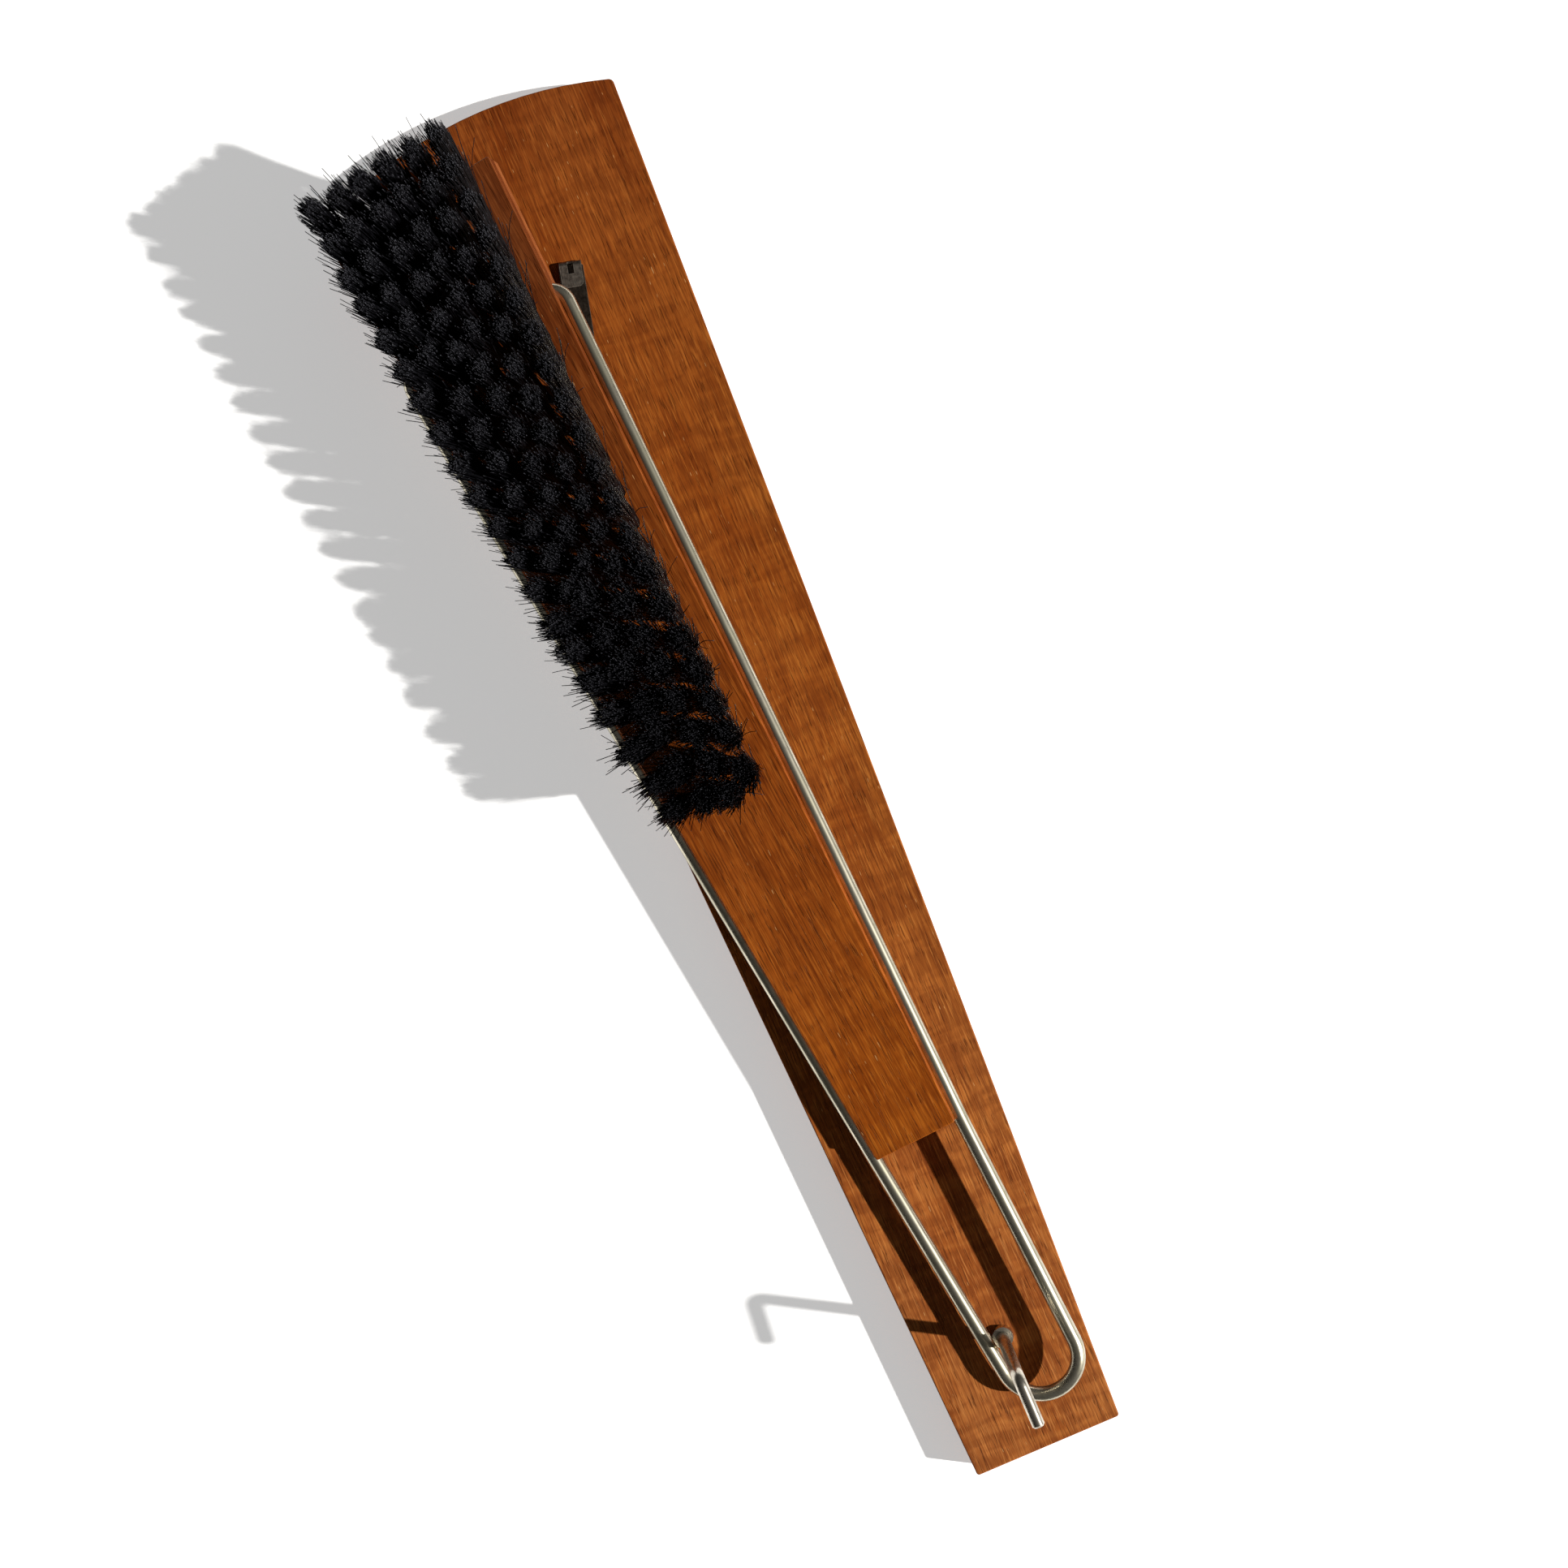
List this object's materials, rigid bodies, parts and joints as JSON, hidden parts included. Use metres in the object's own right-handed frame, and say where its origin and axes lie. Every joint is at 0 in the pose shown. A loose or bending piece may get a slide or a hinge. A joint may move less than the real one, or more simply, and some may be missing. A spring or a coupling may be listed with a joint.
{
  "type": "clothes brush on a hook board",
  "caption": "Wooden clothes brush with black bristles and a steel wire loop handle, hooked on a long tapered wooden wall board with a folded steel keeper clip.",
  "frame": {"origin": "centre of the wall board's flat back face, half way along the board", "axes": "+Z out of the board's face, +Y along the board towards the hook end (up on a wall), +X across it"},
  "size_m": [0.0889, 0.3883, 0.0525],
  "materials": {
    "board_wood": "satin",
    "brush_wood": "satin",
    "wire_steel": "worn satin",
    "hook_steel": "worn",
    "clip_steel": "dull and tarnished",
    "hidden_steel": "satin",
    "black_bristle": "matte"
  },
  "bodies": {
    "wall_set": {"wall_board": "board_wood", "hook_rod": "hook_steel", "hanger_plate": "hidden_steel", "hanger_screws": "hidden_steel", "keeper_clip": "clip_steel", "clip_screw": "clip_steel"},
    "swing_ring": {"hook_collar": "hook_steel"},
    "brush": {"tuft_board": "brush_wood", "back_board": "brush_wood", "handle_wire": "wire_steel", "drawing_wires": "hidden_steel", "bristle_row_01": "black_bristle", "bristle_row_02": "black_bristle", "bristle_row_03": "black_bristle", "bristle_row_04": "black_bristle", "bristle_row_05": "black_bristle", "bristle_row_06": "black_bristle", "bristle_row_07": "black_bristle", "bristle_row_08": "black_bristle", "bristle_row_09": "black_bristle", "bristle_row_10": "black_bristle", "bristle_row_11": "black_bristle", "bristle_row_12": "black_bristle", "bristle_row_13": "black_bristle", "bristle_row_14": "black_bristle", "bristle_row_15": "black_bristle", "bristle_row_16": "black_bristle", "bristle_row_17": "black_bristle", "bristle_row_18": "black_bristle", "bristle_row_19": "black_bristle", "bristle_row_20": "black_bristle"}
  },
  "joints": [
    {"name": "brush_swing", "type": "hinge", "parent": "wall_set", "child": "swing_ring", "pos_m": [0, 0.159, 0.0111], "axis": [0, 0, 1], "range_deg": [-6, 45]},
    {"name": "brush_lift", "type": "slide", "parent": "swing_ring", "child": "brush", "axis": [0, 0.6428, 0.766], "range_m": [0, 0.08]}
  ]
}
